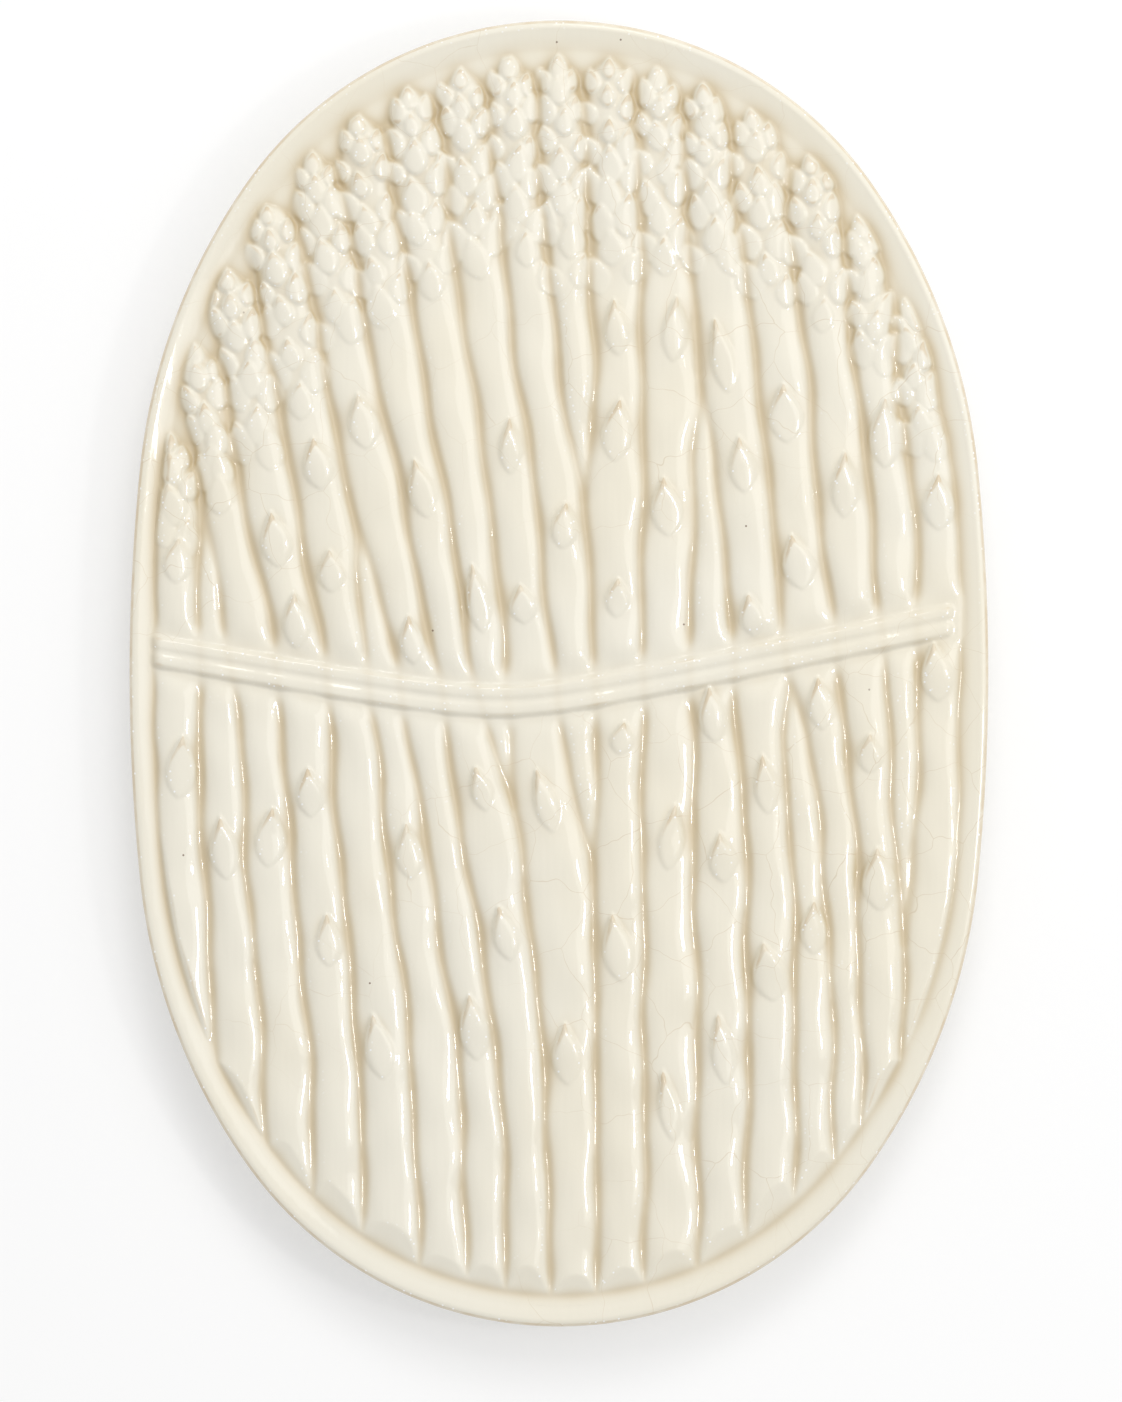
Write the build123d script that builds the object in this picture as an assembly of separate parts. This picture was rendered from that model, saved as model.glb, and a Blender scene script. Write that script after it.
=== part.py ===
"""Oval earthenware dish for serving asparagus: a shallow well on a foot ring, filled by a bunch of
moulded spears under a doubled tie.

Millimetres. The origin is on the resting plane under the middle of the dish, +Y runs along the dish
towards the spear tips, +X to the right as seen from above and +Z up.
"""

import math
import os

from build123d import *

# Oval outline: flat side arcs, shoulder arcs and round end arcs that meet tangentially
plate_length = 380.0
plate_width = 250.0
shoulder_radius = 175.0
side_turn = 5.8
shoulder_turn = 35.3

# Section through the rim, with insets measured square to the outer edge
foot_height = 6.0
base_thickness = 7.0
rim_rise = 5.6
lip_width = 2.4
lip_radius = 1.1
lip_drop = 3.0
under_lip_radius = 2.0
wall_inset = 6.0
cove_radius = 5.0
base_inset = 15.0
heel_radius = 8.0

# Foot ring under the base
foot_inset = 32.0
foot_width = 7.0
foot_radius = 1.5

# Bunch of spears
spear_height = 5.2
spear_rise = 0.42
spear_gap = 0.6
end_width = 4.0
bunch_clearance = 0.3
butt_slope = 38.0
section_pitch = 18.0

# Spear heads and the scales that close over them, larger towards the neck
head_length = 42.0
tip_blunt = 1.6
head_fullness = 0.5
tip_scale_length = 8.0
tip_scale_radius = 2.0
neck_growth = 1.5
scale_proud = 1.1
scale_row_pitch = 6.6
scale_tilt = 6.0

# Bracts on the stems
bract_length = 17.0
bract_radius = 4.0
bract_proud = 1.2

# Doubled tie: its line falls from both sides of the well to a rounded dip
tie_left = 6.0
tie_right = 18.0
tie_dip = -9.6
tie_dip_place = 1.5
tie_bend_radius = 200.0
strand_width = 5.0
strand_height = 3.4
strand_gap = 0.3
tie_clearance = 0.2
tie_seat = 2.6

# Lines across the bunch, in percent of the well's half length from its middle, and the edges of the
# spears on each, left to right, in percent of the well's half width. A spear whose two edges are equal
# is hidden under its neighbours there.
SPEAR_EDGES = {
    76.0: [-116, -112, -108, -95, -80, -66, -66, -54, -41, -28, -15.5,
           -4, 7, 20, 32, 32, 44, 44, 57, 70, 80, 90],
    52.0: [-106, -96, -96, -85, -72.5, -60, -60, -47, -35, -23, -11,
           -0.5, 9, 21, 35, 35, 49, 49, 62, 74, 84, 92.5],
    28.0: [-98, -90, -89, -79, -66, -53, -51.5, -39, -28, -17, -5.5,
           5.5, 7.5, 21, 34, 40.5, 53, 53, 65, 78, 89, 98],
    5.4: [-98, -90, -83, -71, -59, -48.5, -42, -32, -23, -14, -2,
          8.5, 8.5, 21, 33, 43, 56, 56.5, 69, 81, 90, 98],
    -9.0: [-98, -90, -79.5, -69, -57, -46, -37.5, -28, -18, -12, 0.5,
           9.5, 9.5, 21, 34, 45, 56, 62, 72, 83, 90, 98],
    -28.0: [-98, -89, -78.5, -67, -55, -43, -33, -24, -9.5, -9.5, 7,
            9.5, 9.5, 21, 34, 47, 58.5, 66.5, 74.5, 84.5, 89, 98],
    -60.5: [-97, -86, -74, -62, -50, -37, -25, -15, -4, -4, 9.5,
            9.5, 9.5, 21.5, 35, 47.5, 59.5, 69, 76, 86, 86, 94],
    -84.5: [-96, -85, -73, -61, -49, -35, -23, -13, -2.5, -2.5, 9.5,
            9.5, 9.5, 21.5, 35, 47, 59, 69, 76, 86, 86, 94],
}
SPEAR_COUNT = 21

# Where a spear comes out from under its neighbours at the top, or goes under them below, and where its
# bracts are, in percent of the well's half length. A spear with no such end has a head, or a cut butt.
HIDDEN_TOPS = {2: 27.0, 6: 27.0, 15: 42.0, 17: 0.0}
HIDDEN_ENDS = {9: -21.0, 11: -28.0, 12: 27.0, 20: -44.0}
BRACTS = {
    1: [17, -14], 2: [-28], 3: [-27], 4: [20, 7, -19, -43], 5: [32, 15.5, -61], 6: [-29], 7: [40, -58],
    8: [29, -19, -43], 9: [11.5], 10: [35, 10, -21, -62], 11: [23], 13: [54, 38, 11, -12, -45],
    14: [54, 26, -28, -70], 15: [-9, -30, -61], 16: [50, 32, 9, -18, -48], 17: [-41], 18: [41, 17, -6],
    19: [29, -14, -33], 20: [37], 21: [27, -1],
}

half_width = plate_width / 2
half_length = plate_length / 2
floor_level = foot_height + base_thickness
rim_level = floor_level + rim_rise
wall_lean = math.atan2(wall_inset - lip_width, rim_rise)
well_inset = wall_inset + cove_radius * math.tan(math.pi / 4 - wall_lean / 2)
well_half_width = half_width - well_inset
well_half_length = half_length - well_inset


def oval_arcs():
    """Centre, radius, start angle and turn of each arc of the outline, anticlockwise from the right."""
    side = math.radians(side_turn)
    shoulder = math.radians(shoulder_turn)
    width_left = half_width - shoulder_radius * (math.cos(side) - math.cos(shoulder))
    length_left = half_length - shoulder_radius * (math.sin(shoulder) - math.sin(side))
    side_share = 1 - math.cos(side)
    end_share = 1 - math.sin(shoulder)
    spread = side_share * end_share - math.cos(shoulder) * math.sin(side)
    side_radius = (width_left * end_share - math.cos(shoulder) * length_left) / spread
    end_radius = (side_share * length_left - math.sin(side) * width_left) / spread
    side_x = half_width - side_radius
    shoulder_x = side_x + (side_radius - shoulder_radius) * math.cos(side)
    shoulder_y = (side_radius - shoulder_radius) * math.sin(side)
    end_y = half_length - end_radius
    corner_turn = shoulder_turn - side_turn
    end_turn = 180 - 2 * shoulder_turn
    return [
        (side_x, 0, side_radius, -side_turn, 2 * side_turn),
        (shoulder_x, shoulder_y, shoulder_radius, side_turn, corner_turn),
        (0, end_y, end_radius, shoulder_turn, end_turn),
        (-shoulder_x, shoulder_y, shoulder_radius, 180 - shoulder_turn, corner_turn),
        (-side_x, 0, side_radius, 180 - side_turn, 2 * side_turn),
        (-shoulder_x, -shoulder_y, shoulder_radius, 180 + side_turn, corner_turn),
        (0, -end_y, end_radius, 180 + shoulder_turn, end_turn),
        (shoulder_x, -shoulder_y, shoulder_radius, 360 - shoulder_turn, corner_turn),
    ]


def oval(inset, level):
    """Face of the outline drawn in by inset, at a height."""
    edges = [CenterArc((x, y), radius - inset, start, turn) for x, y, radius, start, turn in oval_arcs()]
    return Pos(0, 0, level) * make_face(edges)


def oval_side(along, inset):
    """Half width of the drawn-in outline at a place along the dish, and the way that its edge faces."""
    place = abs(along)
    for x, y, radius, start, turn in oval_arcs()[:3]:
        reach = radius - inset
        joint = y + reach * math.sin(math.radians(min(start + turn, 90)))
        if place <= joint:
            facing = math.asin((place - y) / reach)
            return x + reach * math.cos(facing), facing
    return 0.0, math.pi / 2


def turned_ring(profile, roundings):
    """Ring of one section, turned about the centre of each arc of the outline in turn."""
    segments = []
    for x, y, radius, start, turn in oval_arcs():
        corners = [(radius - inset, level) for inset, level in profile]
        section = make_face(Polyline(*corners, close=True))
        for corner, rounding in roundings.items():
            nearest = section.vertices().sort_by_distance(corners[corner])[0]
            section = fillet(nearest, rounding)
        segment = revolve(Plane.XZ * section, Axis.Z, turn)
        segments.append(Pos(x, y) * Rot(0, 0, start) * segment)
    return segments


def make_platter_body():
    """Dish with a rounded lip, a rim that coves down to a flat well, and a sloping outer wall."""
    core_inset = foot_inset + foot_width + heel_radius
    profile = [
        (0, rim_level),
        (lip_width, rim_level),
        (wall_inset, floor_level),
        (core_inset, floor_level),
        (core_inset, foot_height),
        (base_inset, foot_height),
        (0, rim_level - lip_drop),
    ]
    roundings = {0: lip_radius, 1: lip_radius, 2: cove_radius, 5: heel_radius, 6: under_lip_radius}
    core = extrude(oval(core_inset, foot_height), base_thickness)
    return core.fuse(*turned_ring(profile, roundings)).clean()


def make_foot_ring():
    """Ring that the dish stands on, rounded on its two lower edges."""
    profile = [
        (foot_inset, foot_height),
        (foot_inset + foot_width, foot_height),
        (foot_inset + foot_width, 0),
        (foot_inset, 0),
    ]
    segments = turned_ring(profile, {2: foot_radius, 3: foot_radius})
    return segments[0].fuse(*segments[1:]).clean()


def edge_place(edge, along):
    """Distance across the dish of one spear edge, at a place along the dish."""
    lines = sorted(SPEAR_EDGES)
    share = 100 * along / well_half_length
    upper = next((n for n in range(1, len(lines) - 1) if lines[n] >= share), len(lines) - 1)
    low, high = lines[upper - 1], lines[upper]
    mix = (share - low) / (high - low)
    percent = (1 - mix) * SPEAR_EDGES[low][edge] + mix * SPEAR_EDGES[high][edge]
    return percent / 100 * well_half_width


def spear_lane(number, along):
    """Middle and width of a spear at a place along the dish, clear of its neighbours and of the rim."""
    left = edge_place(number - 1, along)
    right = edge_place(number, along)
    limit = oval_side(along, well_inset)[0]
    if number == 1:
        left = max(left, min(-limit, right - end_width))
    if number == SPEAR_COUNT:
        right = min(right, max(limit, left + end_width))
    return (left + right) / 2, right - left - spear_gap


def crown_height(width):
    """Height of a spear of a given width above the floor of the well."""
    return min(spear_height, spear_rise * width)


def crown_section(middle, width, along):
    """Upright section through a spear: a chord on the floor of the well under an arc."""
    left = Vector(middle - width / 2, along, floor_level)
    right = Vector(middle + width / 2, along, floor_level)
    crown = Vector(middle, along, floor_level + crown_height(width))
    return make_face([ThreePointArc(left, crown, right), Line(right, left)])


def rim_place(number, way):
    """Place along the dish where a spear's middle line meets the foot of the rim, up (1) or down (-1)."""
    low, high = 0.0, half_length
    while high - low > 0.01:
        trial = (low + high) / 2
        middle = (edge_place(number - 1, way * trial) + edge_place(number, way * trial)) / 2
        if abs(middle) < oval_side(trial, well_inset + bunch_clearance)[0]:
            low = trial
        else:
            high = trial
    return way * low


def head_lane(number, tip, distance):
    """Middle and width of a spear's head at a distance below its tip, full at the neck."""
    middle, width = spear_lane(number, tip - distance)
    share = min(distance / head_length, 1.0)
    fullness = math.sin(share * math.pi / 2) ** head_fullness
    return middle, tip_blunt + (width - tip_blunt) * fullness


def drop(length, radius):
    """Scale as a pointed drop: a ball drawn out to a point along +Y."""
    reach = length - radius
    lean = math.asin(radius / reach)
    halfway = lean / 2 - math.pi / 4
    point = (0, reach)
    touch = (radius * math.cos(lean), radius * math.sin(lean))
    side = (radius * math.cos(halfway), radius * math.sin(halfway))
    base = (0, -radius)
    outline = [Line(point, touch), ThreePointArc(touch, side, base), Line(base, point)]
    return revolve(make_face(outline), Axis.Y)


def seat_drop(length, radius, proud, number, along, width, offset, tilt):
    """A scale sunk into a spear's crown at an offset from its middle, leaning with the spear."""
    rise = crown_height(width)
    crown_radius = (rise**2 + (width / 2) ** 2) / (2 * rise)
    level = floor_level + rise - crown_radius + math.sqrt(crown_radius**2 - offset**2)
    middle = spear_lane(number, along)[0]
    lean = math.degrees(math.atan2(spear_lane(number, along + length)[0] - middle, length))
    place = Pos(middle + offset, along, level + proud - radius)
    return place * Rot(0, 0, -lean) * Rot(tilt, 0, 0) * drop(length, radius)


def head_scales(number, tip):
    """Scales in alternating rows of two and three below the one at the tip."""
    scales = []
    for row in range(int(head_length / scale_row_pitch)):
        distance = tip_scale_length - tip_scale_radius + row * scale_row_pitch
        growth = 1 + (neck_growth - 1) * distance / head_length
        length = tip_scale_length * growth
        radius = tip_scale_radius * growth
        along = tip - distance
        width = head_lane(number, tip, distance)[1]
        abreast = min(row + 1, 2 + (row + 1) % 2)
        reach = max(width / 2 - radius, 0)
        for place in range(abreast):
            offset = reach * (2 * place / (abreast - 1) - 1) if abreast > 1 else 0
            scales.append(seat_drop(length, radius, scale_proud, number, along, width, offset, scale_tilt))
    return scales


def spear_bracts(number):
    """Pointed bracts on a spear's stem."""
    bracts = []
    for percent in BRACTS.get(number, []):
        along = percent / 100 * well_half_length
        width = spear_lane(number, along)[1]
        bracts.append(seat_drop(bract_length, bract_radius, bract_proud, number, along, width, 0, 0))
    return bracts


def butt_plane(number, along):
    """Plane that cuts a spear's butt along the rim, leaning in towards its top."""
    side, facing = oval_side(along, well_inset + bunch_clearance)
    middle = math.copysign(side, spear_lane(number, along)[0])
    slope = math.radians(butt_slope)
    across = math.copysign(math.cos(facing), middle)
    normal = (across * math.cos(slope), -math.sin(facing) * math.cos(slope), math.sin(slope))
    return Plane(origin=(middle, along, floor_level), z_dir=normal)


def make_spear(number, trench):
    """One spear: a crowned stem with bracts, a scaled head and a butt cut along the rim."""
    tip = rim_place(number, 1)
    butt = rim_place(number, -1)
    has_head = number not in HIDDEN_TOPS
    has_butt = number not in HIDDEN_ENDS
    low = butt - section_pitch if has_butt else HIDDEN_ENDS[number] / 100 * well_half_length
    high = tip - head_length if has_head else HIDDEN_TOPS[number] / 100 * well_half_length
    least_step = section_pitch / 3
    first = math.ceil((low + least_step) / section_pitch)
    last = math.floor((high - least_step) / section_pitch)
    levels = [low] + [step * section_pitch for step in range(first, last + 1)] + [high]
    sections = [crown_section(*spear_lane(number, level), level) for level in levels]
    scales = spear_bracts(number)
    if has_head:
        for share in (0.6, 0.3, 0.1, 0.0):
            distance = share * head_length
            sections.append(crown_section(*head_lane(number, tip, distance), tip - distance))
        scales += head_scales(number, tip)
    spear = loft(sections, ruled=not has_head)
    if has_butt:
        spear = split(spear, butt_plane(number, butt), keep=Keep.BOTTOM)
    if scales:
        spear = split(spear.fuse(*scales), Plane.XY.offset(floor_level), keep=Keep.TOP)
    return spear - trench


def tie_line():
    """Line of the tie across the bunch, past both walls of the well."""
    return FilletPolyline(
        (-half_width, tie_left), (tie_dip_place, tie_dip), (half_width, tie_right), radius=tie_bend_radius
    )


def tie_trench():
    """Flat-bottomed channel that the tie presses into the spears."""
    width = 2 * (strand_width + tie_clearance) + strand_gap
    return extrude(Pos(0, 0, floor_level + tie_seat) * trace(tie_line(), width), spear_height + scale_proud)


def bunch_envelope():
    """Space over the well that the tie keeps to, with a wall that leans in all round."""
    height = spear_height + scale_proud + strand_height
    foot = well_inset + bunch_clearance
    lean = height * math.tan(math.radians(butt_slope))
    return loft([oval(foot, floor_level), oval(foot + lean, floor_level + height)], ruled=True)


def make_tie_strand(side):
    """One half-round strand of the tie, on the given side of the tie's line."""
    line = tie_line()
    along = line % 0
    plane = Plane(origin=line @ 0, x_dir=Vector(0, 0, 1).cross(along), z_dir=along)
    middle = side * (strand_width + strand_gap) / 2
    seat = floor_level + tie_seat
    left = (middle - strand_width / 2, seat)
    right = (middle + strand_width / 2, seat)
    section = make_face([ThreePointArc(left, (middle, seat + strand_height), right), Line(right, left)])
    return sweep(plane * section, path=line) & bunch_envelope()


def make_parts():
    """Every piece by its name."""
    trench = tie_trench()
    parts = {
        "platter_body": make_platter_body(),
        "foot_ring": make_foot_ring(),
        "tie_strand_upper": make_tie_strand(1),
        "tie_strand_lower": make_tie_strand(-1),
    }
    for number in range(1, SPEAR_COUNT + 1):
        parts[f"spear_{number:02d}"] = make_spear(number, trench)
    return parts


os.makedirs("parts", exist_ok=True)
for name, part in make_parts().items():
    export_step(part, f"parts/{name}.step")
    print(name, round(part.volume), "cubic millimetres")
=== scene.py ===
"""Cream glazed asparagus plate: an oval dish whose well is filled by a bunch of moulded spears.

The well's glazed surface is worked out once, as heights on a square grid: the rim's slope, the stems in
their lanes, the buds and scales of the heads, the bracts and the tie, softened as the glaze softens
them. Each spear and each strand of the tie is then a closed tile of that surface. Lengths are in metres.
"""

import functools
import math
import random

import bmesh
import bpy
import numpy as np
from bpy.props import FloatProperty, FloatVectorProperty, IntProperty, PointerProperty
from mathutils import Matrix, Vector


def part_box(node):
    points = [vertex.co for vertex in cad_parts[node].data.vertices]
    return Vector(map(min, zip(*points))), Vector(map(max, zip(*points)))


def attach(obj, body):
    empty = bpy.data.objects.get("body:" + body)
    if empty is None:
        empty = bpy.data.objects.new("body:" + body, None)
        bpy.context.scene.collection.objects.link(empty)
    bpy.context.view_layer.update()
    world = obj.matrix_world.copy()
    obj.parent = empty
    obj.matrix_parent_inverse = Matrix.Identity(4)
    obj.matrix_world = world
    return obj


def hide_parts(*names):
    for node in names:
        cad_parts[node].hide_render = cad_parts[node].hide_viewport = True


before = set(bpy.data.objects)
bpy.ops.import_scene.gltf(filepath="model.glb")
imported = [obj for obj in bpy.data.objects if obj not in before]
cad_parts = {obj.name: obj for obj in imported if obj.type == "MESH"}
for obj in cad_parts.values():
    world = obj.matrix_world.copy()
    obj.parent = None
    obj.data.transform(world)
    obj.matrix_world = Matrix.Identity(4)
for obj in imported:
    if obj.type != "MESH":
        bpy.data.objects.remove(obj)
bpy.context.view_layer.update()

bl_info = {
    "name": "Asparagus Plate",
    "version": (1, 0, 0),
    "blender": (4, 5, 0),
    "location": "View3D > Sidebar > Plate",
    "description": "Models a cream glazed oval plate with a moulded bunch of asparagus",
    "category": "Add Mesh",
}

MM = 0.001
BODY = "root"
SPEAR_COUNT = 21
WHITE = (1, 1, 1, 1)

# Levels and the outline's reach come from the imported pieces
HALF_WIDTH, HALF_LENGTH, RIM_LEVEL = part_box("platter_body")[1]
FOOT_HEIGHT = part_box("foot_ring")[1].z
FLOOR_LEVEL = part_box("spear_10")[0].z
TIE_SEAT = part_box("tie_strand_upper")[0].z - FLOOR_LEVEL

# Where the tie ends, to the left and to the right of the middle
TIE_ENDS = (-119.5 * MM, 116.0 * MM)

# Allowances of the meshes: how far the tiles of the spears and of the tie lie above what is under them,
# how far a tile's underside and the paper under the plate lie below what they would touch, how far
# under the surface a point still counts as on top, and the distances that count as none
SPEAR_LIFT = 0.03 * MM
TIE_LIFT = 0.06 * MM
TILE_SINK = 0.3 * MM
PAPER_SINK = 0.05 * MM
TOP_REACH = 0.4 * MM
HAIR = 0.02 * MM
TILE_HAIR = 0.002 * MM

# Lines across the bunch, in percent of the well's half length from its middle, and the edges of the
# spears on each, left to right, in percent of the well's half width
SPEAR_EDGES = {
    -84.5: [-99.5, -85, -73, -61, -49, -35, -23, -13, -2.5, -2.5, 9.5,
            9.5, 9.5, 21.5, 35, 47, 59, 69, 76, 86, 86, 96],
    -60.5: [-100.5, -86, -74, -62, -50, -37, -25, -15, -4, -4, 9.5,
            9.5, 9.5, 21.5, 35, 47.5, 59.5, 69, 76, 86, 86, 96],
    -28.0: [-101.5, -89, -78.5, -67, -55, -43, -33, -24, -9.5, -9.5, 7,
            9.5, 9.5, 21, 34, 47, 58.5, 66.5, 74.5, 84.5, 89, 101],
    -9.0: [-101.5, -90, -79.5, -69, -57, -46, -37.5, -28, -18, -12, 0.5,
           9.5, 9.5, 21, 34, 45, 56, 62, 72, 83, 90, 101],
    5.4: [-101.5, -90, -83, -71, -59, -48.5, -42, -32, -23, -14, -2,
          8.5, 8.5, 21, 33, 43, 56, 56.5, 69, 81, 90, 101],
    28.0: [-101.5, -90, -89, -79, -66, -53, -51.5, -39, -28, -17, -5.5,
           5.5, 7.5, 21, 34, 40.5, 53, 53, 65, 78, 89, 101],
    52.0: [-106, -96, -96, -85, -72.5, -60, -60, -47, -35, -23, -11,
           -0.5, 9, 21, 35, 35, 49, 49, 62, 74, 84, 92.5],
    76.0: [-116, -112, -108, -95, -80, -66, -66, -54, -41, -28, -15.5,
           -4, 7, 20, 32, 32, 44, 44, 57, 70, 80, 90],
}

# Where a spear comes out from under its neighbours or goes under them, in the same percent
HIDDEN_TOPS = {2: 33.0, 6: 30.0, 15: 47.0, 17: 2.0}
HIDDEN_ENDS = {9: -22.0, 11: -29.0, 12: 27.0, 20: -44.0}

# Length of each spear's scaled head, in millimetres
HEAD_LENGTHS = {
    1: 28, 3: 45, 4: 48, 5: 55, 7: 50, 8: 56, 9: 54, 10: 56, 11: 55, 12: 57, 13: 60, 14: 56, 16: 50,
    18: 50, 19: 46, 20: 40, 21: 36,
}

# Scales of a head at its tip and at its neck, in millimetres: length, width and distance between rows
SCALE_LENGTH = (8.2, 13.2)
SCALE_WIDTH = (5.7, 8.3)
SCALE_PITCH = (3.8, 7.2)

# Bracts on the stems: place of the foot in percent, length and width in millimetres
BRACTS = {
    1: [(14.5, 14, 8.5), (-20, 19, 9)],
    2: [(-33, 19, 8.5)],
    3: [(-31, 18, 9)],
    4: [(17, 17, 9), (4, 17, 8), (-23, 15, 8), (-47, 16, 7.5)],
    5: [(29.5, 16, 9), (13, 13, 8), (-65, 20, 8.5)],
    6: [(-33, 17, 8)],
    7: [(36, 17, 9), (1.5, 15, 7), (-62, 20, 8.5)],
    8: [(25, 18, 8), (-22, 14, 6.5), (-46, 17, 7.5)],
    9: [(6.5, 21, 7)],
    10: [(32, 17, 6.5), (8, 12, 8), (-25.5, 20, 7), (-66, 19, 8.5)],
    11: [(20, 14, 8)],
    13: [(51, 17, 7.5), (34, 19, 9), (9, 12, 7), (-13, 10, 7), (-49.5, 21, 9)],
    14: [(50, 20, 7.5), (22, 18, 9.5), (-31.5, 20, 7.5), (-75, 22, 6)],
    15: [(-11, 17, 8), (-33.5, 15, 8), (-66, 22, 7)],
    16: [(45, 23, 7), (29, 17, 8), (6, 13, 7), (-22.5, 18, 7), (-52.5, 18, 10)],
    17: [(-45, 16, 8)],
    18: [(37, 18, 10), (13.5, 17, 9.5), (-9, 16, 8)],
    19: [(25, 20, 8), (-16, 12, 7.5), (-38, 19, 10)],
    20: [(33, 21, 9.5)],
    21: [(23, 17, 9.5), (-4.5, 18, 9.5)],
}


def length(name, description, default):
    """Property for a length in metres."""
    return FloatProperty(
        name=name, description=description, default=default, min=0, subtype="DISTANCE", precision=5
    )


def signed_length(name, description, default):
    """Property for a length in metres that may be negative."""
    return FloatProperty(name=name, description=description, default=default, unit="LENGTH")


def share(name, description, default):
    """Property for a plain number."""
    return FloatProperty(name=name, description=description, default=default)


def angle(name, description, degrees):
    """Property for an angle."""
    return FloatProperty(name=name, description=description, default=math.radians(degrees), subtype="ANGLE")


def colour(name, description, default):
    """Property for a linear colour."""
    return FloatVectorProperty(
        name=name, description=description, default=default, subtype="COLOR", min=0, max=1
    )


class DishShape(bpy.types.PropertyGroup):
    """Outline of the dish and the section through its rim and foot."""

    shoulder_radius: length("Shoulder Radius", "Radius of the arcs between sides and ends", 175 * MM)
    side_turn: angle("Side Turn", "Half the turn of a side arc", 5.8)
    shoulder_turn: angle("Shoulder Turn", "Turn from the side's middle to the end arc", 35.3)
    lip_width: length("Lip Width", "Where the lip turns into the rim", 2.2 * MM)
    lip_radius: length("Lip Radius", "Rounding of the lip's outer edge", 2.0 * MM)
    lip_drop: length("Lip Drop", "Height of the lip's outer face", 5.4 * MM)
    wall_radius: length("Wall Radius", "Rounding between the lip's outer face and the wall", 2.0 * MM)
    rim_step: length("Rim Step", "Width of a face on the rim", 0.5 * MM)
    foot_level: length("Foot Level", "Height of the glaze at the foot of the rim above the floor", 3.5 * MM)
    butt_fall: length("Butt Fall", "Width of the glaze's fall into the grooves at the butts", 6.0 * MM)
    head_fall: length("Head Fall", "Width of the glaze's fall into the grooves at the heads", 14.0 * MM)
    well_inset: length("Well Inset", "Distance from the outer edge to the foot of the bunch", 8.73 * MM)
    well_margin: length("Well Margin", "How far the rim runs in under the bunch", 2.0 * MM)
    base_inset: length("Base Inset", "Where the outer wall meets the base", 15.0 * MM)
    heel_radius: length("Heel Radius", "Rounding between outer wall and base", 8.0 * MM)
    foot_inset: length("Foot Inset", "Outer edge of the foot ring", 32.0 * MM)
    foot_width: length("Foot Width", "Width of the foot ring", 7.0 * MM)
    foot_radius: length("Foot Radius", "Rounding of the foot ring's lower edges", 1.5 * MM)
    floor_inset: length("Floor Inset", "Where the flat middle of the dish begins", 26.0 * MM)
    sweep_step: length("Sweep Step", "Length of a face along the rim", 2.0 * MM)


class BunchShape(bpy.types.PropertyGroup):
    """Heights and roundings of the moulded bunch."""

    cell: length("Cell", "Size of a face on the relief", 0.4 * MM)
    tile_inset: length("Tile Inset", "How far from the outer edge the tiles end", 6.0 * MM)
    crown_rise: length("Crown Rise", "Height of a full spear above the groove beside it", 3.9 * MM)
    groove_level: length("Groove Level", "Height of the glaze in a groove above the floor", 2.1 * MM)
    full_width: length("Full Width", "Width from which a spear has its full height", 11.0 * MM)
    wobble: length("Wobble", "Unevenness of the hand-pressed clay", 0.65 * MM)
    sway: length("Sway", "How far a groove strays from its line", 0.45 * MM)
    lane_bend: length("Lane Bend", "How far the bends of a groove are rounded", 7.0 * MM)
    hidden_taper: length("Hidden Taper", "Length over which a hidden spear narrows to nothing", 22 * MM)
    head_taper: length("Head Taper", "Length over which a head widens to its lane", 20 * MM)
    side_reach: length("Side Reach", "How much nearer the edge the bunch comes at the sides", 3.2 * MM)
    butt_sink: length("Butt Sink", "How far the cut butts start below the foot of the rim", 0.3 * MM)
    butt_slope: share("Butt Slope", "Rise over run of the cut butts", 0.36)
    side_slope: share("Side Slope", "Rise over run of the bunch along the sides", 1.3)
    scale_proud: length("Scale Proud", "Height of the head scales", 2.1 * MM)
    bract_proud: length("Bract Proud", "Height of the bracts on the stems", 2.7 * MM)
    stem_round: length("Stem Round", "How far the grooves between stems are softened", 0.85 * MM)
    glaze_round: length("Glaze Round", "How far the glaze softens an edge", 0.36 * MM)
    ridge_reach: length("Ridge Reach", "Width of the thin glaze along an edge", 0.55 * MM)
    # the same reach sets how far the painted shade in hollows spreads
    pool_and_shade_reach: length("Pool Reach", "Width over which glaze gathers in a hollow", 2.5 * MM)
    strand_width: length("Strand Width", "Width of a strand of the tie", 5.0 * MM)
    strand_rise: length("Strand Rise", "Height of a strand above its seat", 3.4 * MM)
    tie_fill: length("Tie Fill", "Width over which glaze fills the grooves beside the tie", 4.0 * MM)
    tie_margin: length("Tie Margin", "Glaze beside the tie that belongs to it", 1.3 * MM)
    tie_end: length("Tie End", "Length over which the tie's ends go down", 4.0 * MM)
    tie_foot: length("Tie Foot", "Height of the tie above the foot of the rim at its ends", 2.2 * MM)
    tie_left: length("Tie Left", "Height of the tie's left end along the dish", 7.5 * MM)
    tie_right: length("Tie Right", "Height of the tie's right end along the dish", 17.5 * MM)
    tie_dip: length("Tie Dip", "How far the tie's line dips below the middle", 12.0 * MM)
    tie_dip_place: length("Tie Dip Place", "How far left of the middle the tie dips", 16.0 * MM)
    tie_bend: length("Tie Bend", "How far the dip is rounded", 4.0 * MM)
    bract_stray: length("Bract Stray", "How far a bract may stand beside its place", 0.9 * MM)
    bract_lean: share("Bract Lean", "How far a bract may lean from its spear, in radians", 0.14)
    seed: IntProperty(name="Seed", description="Seed of the scales' small differences", default=5)


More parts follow.
